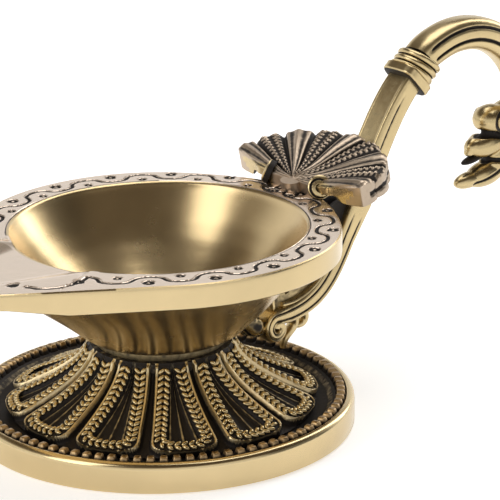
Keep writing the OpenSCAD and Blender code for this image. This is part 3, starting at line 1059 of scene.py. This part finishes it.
# %% The lug, and the whole bracket
lug_r, lug_t, bore_r = 13, 1.58, 6.2
lug_top = lotus_top_z + lug_t
lug = lathe("lug", [(bore_r, lotus_top_z), (lug_r - 0.2, lotus_top_z), (lug_r, lotus_top_z + 0.2),
                    (lug_r, lug_top - 0.18), (lug_r - 0.2, lug_top), (bore_r, lug_top),
                    (bore_r, lotus_top_z)], 96)
even_patina(lug, 0.35)
bracket = join("bracket_casting", [stem, web] + leaves + [lug] + ribs)
finish(bracket, cast_brass, "handle_brass", "handle_bracket", degrees=45)

# %% [markdown]
# The thumb rest is a fan: smooth fluted ribs alternate with beaded ones, parted by black
# grooves, and the outer edge steps in scallops. Its top is a height field in polar
# coordinates, so a rib is simply a bump in angle and a bead row a ripple along it.

# %% The fan's outline
fan_x, fan_tilt = 35.0, math.radians(12)
fan_r, fan_t = 18.4, 3.8
hub_r = 2.4
rib_count = 9


def from_handle(phi):
    """The same angle between -pi and pi; 0 points out along the handle."""
    return (phi + math.pi) % math.tau - math.pi


def fan_edge(phi):
    """Distance from the hub to the fan's edge in a direction, with an ear at each side."""
    wrapped = from_handle(phi)
    outer = fan_r - 0.6 + 0.7 * np.sqrt(np.abs(np.sin((wrapped + math.pi / 2) * rib_count)))
    ear = steps(np.abs(wrapped), math.radians(84), math.radians(90))
    scoop = steps(np.abs(wrapped), math.radians(90), math.radians(100))
    return outer * (1 - ear) + (outer * 0.62 * (1 - scoop) + hub_r * scoop) * ear


print("fan reaches", round(float(fan_edge(math.pi / 2 / rib_count)), 1), "mm from its hub")

# %% The fan's relief
bead_pitch = 1.15
bead_row_at = 0.21


def fan_relief(reach, phi):
    """Height over the plate, and patina, at a share of the way from hub to edge."""
    wrapped = from_handle(phi)
    which = (wrapped + math.pi / 2) * rib_count / math.pi
    index = np.floor(which)
    across = np.abs(which - index - 0.5)
    beaded = (index % 2 == 1)
    distance = reach * fan_edge(phi)
    body = np.clip(1 - (across / 0.47) ** 6, 0, 1)
    flute = 0.5 + 0.5 * np.cos(across * math.tau * 2.2)
    bead_row = np.cos(distance * math.tau / bead_pitch + math.pi * (across > bead_row_at))
    bead_side = np.cos((across - bead_row_at) / 0.19 * math.pi / 2).clip(0, 1)
    bead = bead_side * (0.5 + 0.5 * bead_row)
    rib = body * np.where(beaded, 0.35 + 0.5 * bead, 0.55 + 0.38 * flute)
    in_fan = (1 - steps(np.abs(wrapped), math.radians(86), math.radians(91))) * steps(distance, 0.3, 1.6)
    rise = 1.5 * steps(distance, 3, fan_r)
    height = in_fan * (rib * (0.5 + 0.55 * steps(distance, 4, 13)) - 0.45 * (1 - body)) + rise
    lip = steps(reach, 0.955, 0.99)
    groove = in_fan * (1 - steps(body, 0.2, 0.8))
    speck = np.where(beaded, 0.7 * (1 - steps(bead, 0.1, 0.55)), 0.45 * (1 - flute) ** 2)
    patina_and_shade = np.clip(groove + in_fan * body * speck + 0.1, 0, 1)
    return height * (1 - 0.25 * lip), patina_and_shade * (1 - 0.5 * lip)


print(rib_count, "ribs, every second one beaded")

# %% The fan's sheet
fan_rows_top, fan_rows_side, fan_rows_under = 64, 10, 10
fan_rows = fan_rows_top + fan_rows_side + fan_rows_under
arch_h = 1.5


def fan_place(u, v):
    phi = u * math.tau - math.pi
    row = np.rint(v * fan_rows)
    top = row <= fan_rows_top
    height, patina_and_shade = fan_relief(np.where(top, row / fan_rows_top, 1.0), phi)
    side_share = np.clip((row - fan_rows_top) / fan_rows_side, 0, 1)
    under = row > fan_rows_top + fan_rows_side
    under_share = 1 - (row - fan_rows_top - fan_rows_side) / fan_rows_under
    reach = np.where(under, under_share, np.where(top, row / fan_rows_top, 1.0))
    step_in = 0.4 * (side_share > 0.4) * (side_share < 0.7) * (np.abs(phi) <= math.radians(78))
    out = fan_edge(phi) * reach - np.where(top | under, 0, step_in)
    w = np.where(under, 0, (fan_t - 1.2 + height) * (1 - side_share))
    # The fan's underside is set to 0.9: painted shade under the fan.
    patina_and_shade = np.where(top, patina_and_shade, np.where(under, 0.9, 0.12 + 0.6 * (step_in > 0)))
    x = out * np.cos(phi)
    y = out * np.sin(phi) * (1 + 0.12 * np.abs(np.sin(2 * phi)))
    arch = arch_h * steps(np.abs(y), 7.6, 9.0) * (1 - steps(np.abs(y), 12.6, 13.6)) * (1 - steps(x, 1.5, 4.5))
    w = np.where(top, w, np.maximum(w, arch))
    fan_z = rim_z - 0.2 + x * math.sin(fan_tilt) + w * math.cos(fan_tilt)
    return fan_x + x * math.cos(fan_tilt) - w * math.sin(fan_tilt), y, np.maximum(fan_z, rim_z + 0.02), patina_and_shade


fan = wrap_sheet("fan", 620, fan_rows, fan_place, 0.01)
add_cavity(fan, 0.9, spread=2)
finish(fan, fan_cast, "antique_brass", "palmette", degrees=50)
paint(fan, cast_brass, lambda x, y, z: (x < fan_x + 0.6) & (np.abs(y) > 6) & (z < rim_z + 3.4))

# %% [markdown]
# Two rivets hold the fan to the rim. A round scroll stands over each one, a boss with a spiral
# cut in it, turned outwards and a little up. A pin joins the fan's back to the stem; only its
# ends could show.

# %% Rivets with spiral bosses
rivet_x, rivet_y = 33.2, 6.2
boss_r = 2.4
boss_at = (35.3, 7.2, 42.2)
boss_front, boss_side = 0.62, 0.82


def boss_place(u, v):
    """From the middle of the domed front over the side to the middle of the back."""
    angle = u * math.tau
    reach = np.clip(v / boss_front, 0, 1)
    down = np.clip((v - boss_front) / (boss_side - boss_front), 0, 1)
    back = np.clip((v - boss_side) / (1 - boss_side), 0, 1)
    spiral = np.cos(reach * math.tau * 1.9 - angle)
    on_front = steps(reach, 0.12, 0.3) * (1 - steps(reach, 0.86, 0.98))
    dome = 1.2 + 0.6 * np.sqrt(np.clip(1 - (reach * 0.96) ** 2, 0, 1))
    height = (dome - 0.42 * steps(-spiral, 0.2, 0.8) * on_front) * (1 - down)
    r = boss_r * reach * (1 - back)
    patina_and_shade = 0.9 * steps(-spiral, 0.1, 0.7) * on_front * (down < 0.01) + 0.8 * (down > 0.15)
    return r * np.cos(angle), r * np.sin(angle), height, patina_and_shade


rivet_parts = []
for side in (-1, 1):
    boss = wrap_sheet("boss", 72, 50, boss_place, 0.01)
    facing = Vector((-0.55, side * 0.75, 0.42)).normalized()
    level = facing.cross(Vector((0, 0, 1))).normalized()
    turn = Matrix((level, facing.cross(level), facing)).transposed()
    centre = np.array([boss_at[0], side * boss_at[1], boss_at[2]]) * 0.001
    set_points(boss, points(boss) @ np.array(turn).T + centre)
    weld(boss, 0.005)
    shank = lathe("shank", [(0.01, 40.1), (1.3, 40.1), (1.3, 35.6), (1.9, 35.5), (1.9, 35.1), (1.5, 34.8),
                            (0.01, 34.75)], 32)
    set_points(shank, points(shank) + np.array([rivet_x, side * rivet_y, 0]) * 0.001)
    rivet_parts += [boss, shank]
rivets = join("rivet_bosses", rivet_parts)
finish(rivets, cast_brass, "handle_brass", "palmette_rivets", degrees=50)


# %% The fan's pin
def rod(name, length, r, chamfer):
    """A plain round rod along Z, chamfered at both ends."""
    return lathe(name, [(0.01, 0), (r - chamfer, 0), (r, chamfer), (r, length - chamfer),
                        (r - chamfer, length), (0.01, length)], 32)


pin_x, pin_z = 47, 45.4
pin = rod("fan_pin", 8.4, 1.2, 0.3)
co = points(pin)
set_points(pin, np.stack([co[:, 2] + mm(pin_x), co[:, 1], -co[:, 0] + mm(pin_z)], axis=1))
finish(pin, cast_brass, "handle_brass", "palmette_pin")

# %% [markdown]
# The collar is a stack of bands like a ring of rope, with a square-edged block below it. It is
# a turned profile, laid along the handle's direction. Plain steel dowels, hidden in bores,
# carry the collar between stem and neck, and the head on the neck's end.

# %% Pieces laid along the handle
def along_handle(piece, base, direction):
    """Turns a piece made about Z so that its axis lies along a direction in the lamp's plane."""
    dx, dz = direction
    co = points(piece) * 1000
    x = base[0] + co[:, 0] * dz + co[:, 2] * dx
    z = base[1] - co[:, 0] * dx + co[:, 2] * dz
    set_points(piece, np.stack([x, co[:, 1], z], axis=1) * 0.001)


def band_profile(low, high, outer, inner, count):
    """Rounded bands one above another, each a half circle with a groove after it."""
    pitch = (high - low) / count
    profile = [(inner, low)]
    for k in range(count):
        middle = low + (k + 0.5) * pitch
        for a in np.linspace(-math.pi / 2, math.pi / 2, 9):
            profile.append((outer - 0.75 + 0.75 * math.cos(a), middle + 0.5 * pitch * 0.96 * math.sin(a)))
    profile.append((inner, high))
    return profile


print("three bands take", len(band_profile(0, 3, 5, 2, 3)), "profile points")

# %% Collar
bands_from, collar_bore = 1.9, 1.7
bands = lathe("collar_stack", band_profile(bands_from, collar_l, 4.75, collar_bore, 3)
              + [(collar_bore, bands_from)], 72)
co = points(bands) * 1000
groove = 1 - steps(np.hypot(co[:, 0], co[:, 1]), 4.1, 4.62)
set_patina_and_shade(bands, groove)
co[:, 2] += 0.16 * co[:, 0] * steps(co[:, 2], 1.8, 3.5)
set_points(bands, co * 0.001)


def block_place(u, v):
    """A rounded square block round the handle, closed at both ends towards the bore."""
    out, side = superellipse(u * math.tau, 4.35, 4.45, 4.0)
    at = np.array([0.0, 0.12, 0.3, 0.7, 0.88, 1.0])
    size = np.interp(v, at, [0.42, 0.93, 1.0, 1.0, 0.93, 0.42])
    level = np.interp(v, at, [0.0, 0.0, 0.35, 1.95, 2.3, 2.3])
    return out * size, side * size, level, 0.9 * (1 - steps(v, 0.10, 0.24)) + 0.9 * steps(v, 0.82, 0.92)


block = wrap_sheet("collar_block", 72, 20, block_place, 0.004)
collar = join("collar_bands", [bands, block])
along_handle(collar, stem_end, stem_dir)
finish(collar, cast_brass, "handle_brass", "neck_collar", degrees=50)

# %% Dowels
into_stem, into_neck = 4.8, 3.8
dowel = rod("collar_dowel_pin", 15.2, 1.5, 0.3)
along_handle(dowel, stem_end - into_stem * stem_dir, stem_dir)
finish(dowel, steel, "steel", "collar_dowel")
neck_pin = rod("head_dowel_pin", 7.6, 1.2, 0.25)
along_handle(neck_pin, neck_end - into_neck * neck_end_dir, neck_end_dir)
finish(neck_pin, steel, "steel", "head_dowel")

# %% [markdown]
# The neck is one more bent bar. It leaves the collar in the handle's direction, eases into a
# wide bend and thins a little towards the head, with two grooves down each cheek.

# %% The swan neck
bend_angle = np.linspace(math.radians(108), neck_from, 160)
neck_arc = np.stack([neck_bend[0] + neck_bend_r * np.cos(bend_angle),
                     neck_bend[1] + neck_bend_r * np.sin(bend_angle)], axis=1)
arc_dir = np.array([math.sin(bend_angle[0]), -math.cos(bend_angle[0])])
lead_in = bezier([neck_start, neck_start + 1.6 * stem_dir, neck_arc[0] - 1.8 * arc_dir, neck_arc[0]], 30)
neck_line = np.concatenate([lead_in[:-1], neck_arc])
groove_levels, groove_w = (0.46, -0.28), 0.085


def neck_section(t, angle):
    """A rounded back, flat cheeks with two grooves, and a narrower inside edge."""
    half_out = np.interp(t, [0, 0.08, 0.5, 1], [3.4, 3.5, 3.5, 3.45])
    half_side = np.interp(t, [0, 0.1, 0.6, 1], [3.5, 3.6, 3.5, 3.4])
    out, side = superellipse(angle, half_out, half_side, 2.9)
    height = out / half_out
    side = side * np.interp(height, [-1, -0.2, 1], [0.90, 0.99, 1.0])
    groove = np.maximum(*(np.exp(-((height - level) / groove_w) ** 2) for level in groove_levels))
    groove = groove * steps(np.abs(side) / half_side, 0.7, 0.85) * steps(t, 0.015, 0.05)
    return out, side * (1 - 0.16 * groove), 1.05 * groove + 0.06


neck = bar("neck_bar", neck_line, 120, neck_section)
finish(neck, cast_brass, "handle_brass", "swan_neck", degrees=45)

# %% [markdown]
# The bird's head is sculpted: a few stretched balls are pushed together, a voxel remesh melts
# them into one skin, and a smooth softens it, like wax before casting. Mouth, brow, jaw and
# cheek lines are then cut, and eye rings, pupils and tongue laid on, because they are crisp on
# the casting.

# %% Head mass
def lump(x, z, long_r, high_r, wide_r, tilt):
    """A stretched ball in the lamp's plane, in mm, tilted by so many degrees."""
    deselect()
    bpy.ops.mesh.primitive_uv_sphere_add(segments=32, ring_count=20, radius=1)
    piece = bpy.context.object
    piece.scale = (mm(long_r), mm(wide_r), mm(high_r))
    piece.rotation_euler = (0, math.radians(tilt), 0)
    piece.location = (mm(x), 0, mm(z))
    bpy.ops.object.transform_apply(location=True, rotation=True, scale=True)
    return piece


lumps = [lump(98.9, 45.6, 3.5, 4.6, 3.5, 0), lump(95.6, 43.0, 6.4, 5.0, 4.5, -12),
         lump(90.3, 44.5, 4.2, 3.2, 3.8, 0), lump(89.6, 39.6, 6.2, 3.0, 3.4, -8),
         lump(85.6, 39.5, 2.7, 1.9, 2.0, -15), lump(83.9, 38.3, 1.2, 0.9, 1.1, 0),
         lump(93.0, 36.6, 5.2, 4.2, 3.8, -20), lump(88.6, 32.8, 5.4, 2.7, 2.8, -8),
         lump(84.0, 32.3, 4.3, 1.75, 1.9, -4)]
head = join("bird_head_skin", lumps)
apply_modifier(head, "REMESH", mode="VOXEL", voxel_size=mm(0.22))
apply_modifier(head, "SMOOTH", factor=0.5, iterations=4)
print("head", len(head.data.polygons), "faces")

# %% The head's flat seat on the neck
nape_x = 94
co = points(head) * 1000
beyond = (co[:, 0] - neck_end[0]) * neck_end_dir[0] + (co[:, 2] - neck_end[1]) * neck_end_dir[1]
push = np.where(co[:, 0] > nape_x, np.minimum(beyond - 0.02, 0), 0)
co[:, 0] -= push * neck_end_dir[0]
co[:, 2] -= push * neck_end_dir[1]
set_points(head, co * 0.001)
print(int((push < 0).sum()), "points moved onto the seat")


# %% Lines cut in the head
def cut(piece, line, wide, deep, side_only=True):
    """Sinks the skin along a line given in the lamp's plane, and darkens it."""
    co = points(piece) * 1000
    normals = point_normals(piece)
    gap = np.full(len(co), 9.0)
    for x, z in line:
        gap = np.minimum(gap, np.hypot(co[:, 0] - x, co[:, 2] - z))
    depth = 1 - steps(gap, wide * 0.35, wide)
    if side_only:
        depth = depth * steps(np.abs(normals[:, 1]), 0.15, 0.4)
    set_points(piece, (co - normals * (depth * deep)[:, None]) * 0.001)
    set_patina_and_shade(piece, get_patina_and_shade(piece) + depth)


mouth = bezier([(81.5, 36.2), (85.4, 35.6), (88, 36.6), (94, 35.2)], 60)
brow = bezier([(84.0, 42.0), (86.4, 42.0), (88.6, 42.1), (90.6, 41.2)], 50)
jaw = bezier([(84.0, 31.6), (88.0, 32.4), (91.4, 34.2), (94.8, 34.2)], 60)
cheek = bezier([(95.0, 47.0), (98.6, 44.6), (98.6, 39.4), (95.6, 36.0)], 60)
feathers = [bezier([(100.4 - k * 1.3, 47.6), (101 - k * 1.2, 45.5), (100.8 - k, 42.5),
                    (98.6 - k * 0.6, 40.0)], 40) for k in range(2)]
cut(head, mouth, 0.8, 1.0, side_only=False)
cut(head, brow, 0.85, 0.9, side_only=False)
for line in [jaw, cheek] + feathers:
    cut(head, line, 0.42, 0.35)
add_cavity(head, 1.2)
print(4 + len(feathers), "lines cut")

# %% Eyes and tongue
eye_x, eye_y, eye_z = 90.6, 3.72, 44.5
eye_parts = []
for side in (-1, 1):
    deselect()
    bpy.ops.mesh.primitive_torus_add(major_segments=40, minor_segments=10, major_radius=mm(1.5),
                                     minor_radius=mm(0.36))
    ring = bpy.context.object
    deselect()
    bpy.ops.mesh.primitive_uv_sphere_add(segments=24, ring_count=14, radius=mm(0.72))
    pupil = bpy.context.object
    for piece, flatten in ((ring, 0.9), (pupil, 0.75)):
        co = points(piece) * 1000
        y = side * (eye_y + co[:, 2] * flatten)
        set_points(piece, np.stack([co[:, 0] + eye_x, y, co[:, 1] + eye_z], axis=1) * 0.001)
        even_patina(piece, 0)
        weld(piece, 0.004)
        eye_parts.append(piece)
tongue = lump(84.9, 36.7, 3.2, 0.75, 1.2, -10)
even_patina(tongue, 1)
co = points(head) * 1000
socket = np.hypot(co[:, 0] - eye_x, co[:, 2] - eye_z)
ring_dark = (1 - steps(np.abs(socket - 1.9), 0.1, 0.5)) * (np.abs(co[:, 1]) > 1.5) + (socket < 1.35)
set_patina_and_shade(head, get_patina_and_shade(head) + 0.8 * ring_dark)
head = join("bird_head_skin", [head, tongue] + eye_parts)
finish(head, cast_brass, "handle_brass", "bird_head", degrees=70)

# %% [markdown]
# The screw that clamps foot, lotus, handle and bowl sits under the foot. Its hexagon head is a
# six-sided cylinder with chamfered corners, and a plain washer lies between it and the foot.

# %% Centre screw
screw_head_h, screw_seat = 3.4, 5.0
thread_r, root_r, thread_pitch, thread_turns = 2.5, 2.12, 0.85, 14
deselect()
bpy.ops.mesh.primitive_cylinder_add(vertices=6, radius=mm(4.4), depth=mm(screw_head_h),
                                    location=(0, 0, mm(screw_seat - screw_head_h / 2)))
hexagon = bpy.context.object
bpy.ops.object.transform_apply(location=True, rotation=True, scale=True)
edit_all(hexagon)
bpy.ops.mesh.bevel(offset=mm(0.35), segments=3)
bpy.ops.object.mode_set(mode="OBJECT")
shank_profile = [(0.01, 4.6), (2.4, 4.6)]
for k in range(thread_turns):
    shank_profile += [(thread_r, 5.4 + k * thread_pitch), (root_r, 5.82 + k * thread_pitch)]
shank = lathe("screw_shank", shank_profile + [(1.6, 17.6), (0.01, 17.6)], 40)
screw = join("centre_screw_body", [hexagon, shank])
finish(screw, steel, "steel", "centre_screw", degrees=35)

# %% Washer
hole_r, washer_r = 2.65, 5.0
low, high = 5.02, 5.98
washer = lathe("washer_ring", [(hole_r, low), (washer_r - 0.2, low), (washer_r, 5.2), (washer_r, 5.8),
                               (washer_r - 0.2, high), (hole_r, high), (hole_r, low)], 64)
finish(washer, steel, "steel", "screw_washer")

# %% [markdown]
# Polished brass has no colour of its own to speak of: it shows the room. So the room is built
# with care: a pale floor, a world that is bright towards the horizon and dark and a little
# warm overhead, with one shaded patch to the right, and three soft panels, one overhead and
# one at each side. The camera only ever sees the floor.

# %% Floor
deselect()
bpy.ops.mesh.primitive_plane_add(size=6, location=(0, 0, -0.0002))
floor = bpy.context.object
floor.name = "studio_floor"
paper = bpy.data.materials.new("floor_paper")
paper.use_nodes = True
for name, value in (("Base Color", (0.90, 0.90, 0.90, 1)), ("Roughness", 0.9),
                    ("Emission Color", (1.0, 1.0, 1.0, 1)), ("Emission Strength", 0.5)):
    paper.node_tree.nodes["Principled BSDF"].inputs[name].default_value = value
floor.data.materials.append(paper)
print("floor is 6 m wide")

# %% World gradient
world = bpy.data.worlds.new("studio")
bpy.context.scene.world = world
world.use_nodes = True
tree = world.node_tree
sky = tree.nodes["Background"]
direction = tree.nodes.new("ShaderNodeTexCoord")
split = tree.nodes.new("ShaderNodeSeparateXYZ")
ramp = tree.nodes.new("ShaderNodeValToRGB")
tree.links.new(direction.outputs["Generated"], split.inputs["Vector"])
tree.links.new(split.outputs["Z"], ramp.inputs["Fac"])
tree.links.new(ramp.outputs["Color"], sky.inputs["Color"])
stops = ((0.0, 0.90), (0.30, 1.0), (0.42, 0.72), (0.52, 0.20), (0.64, 0.08), (1.0, 0.05))
ramp.color_ramp.elements[0].color = (stops[0][1],) * 3 + (1,)
ramp.color_ramp.elements[1].color = (stops[-1][1] * 1.3, stops[-1][1], stops[-1][1] * 0.7, 1)
for height, level in stops[1:-1]:
    warm = 0.3 * (1 - min(level / 0.7, 1))
    ramp.color_ramp.elements.new(height).color = (level * (1 + warm), level, level * (1 - warm), 1)
print(len(stops), "levels from horizon to overhead")

# %% The shaded patch
shade_toward = (0.743, -0.624, 0.242)
shade = tree.nodes.new("ShaderNodeVectorMath")
shade.operation = "DOT_PRODUCT"
shade.inputs[1].default_value = shade_toward
tree.links.new(direction.outputs["Generated"], shade.inputs[0])
strength = tree.nodes.new("ShaderNodeMapRange")
strength.interpolation_type = "SMOOTHSTEP"
for name, value in (("From Min", 0.82), ("From Max", 0.95), ("To Min", 1.0), ("To Max", 0.2)):
    strength.inputs[name].default_value = value
tree.links.new(shade.outputs["Value"], strength.inputs["Value"])
tree.links.new(strength.outputs["Result"], sky.inputs["Strength"])
print("the world dims towards", shade_toward)


# %% Softboxes
def softbox(name, azimuth, elevation, distance, width, height, power):
    """An area light on a circle round the lamp, facing it. Azimuth 0 is at -Y, as for the camera."""
    a, e = math.radians(azimuth), math.radians(elevation)
    place_at = Vector((math.sin(a) * math.cos(e), -math.cos(a) * math.cos(e), math.sin(e))) * distance
    data = bpy.data.lights.new(name, "AREA")
    data.shape = "RECTANGLE"
    data.size, data.size_y, data.energy = width, height, power
    light = bpy.data.objects.new(name, data)
    bpy.context.scene.collection.objects.link(light)
    light.location = place_at + Vector((0.015, 0, 0.03))
    light.rotation_mode = "QUATERNION"
    light.rotation_quaternion = place_at.to_track_quat("Z", "Y")
    print(name, power, "W")


softbox("overhead", 120, 73, 0.9, 0.7, 0.7, 3.6)
softbox("key_left", -95, 35, 0.9, 0.4, 0.7, 2.2)
softbox("key_right", 95, 30, 0.9, 0.25, 0.7, 1.6)

# %% Camera
view_azimuth, view_elevation, view_roll = map(math.radians, (-39.82, 18.35, -0.83))
camera_at, step_back = (-314.19, -404.5, 204.83), 14.3
focal_px, image_px = 2847.2, 500
back = Vector((math.sin(view_azimuth) * math.cos(view_elevation),
               -math.cos(view_azimuth) * math.cos(view_elevation), math.sin(view_elevation)))
camera_data = bpy.data.cameras.new("camera")
camera = bpy.data.objects.new("camera", camera_data)
bpy.context.scene.collection.objects.link(camera)
camera.location = Vector([mm(value) for value in camera_at]) + back * mm(step_back)
camera.rotation_mode = "QUATERNION"
roll = Matrix.Rotation(view_roll, 4, "Z").to_quaternion()
camera.rotation_quaternion = back.to_track_quat("Z", "Y") @ roll
camera_data.sensor_width = 36
camera_data.lens = focal_px / image_px * camera_data.sensor_width
camera_data.clip_start = 0.01
bpy.context.scene.camera = camera
bpy.context.scene.view_settings.view_transform = "Standard"
print("lens", round(camera_data.lens, 1), "mm")
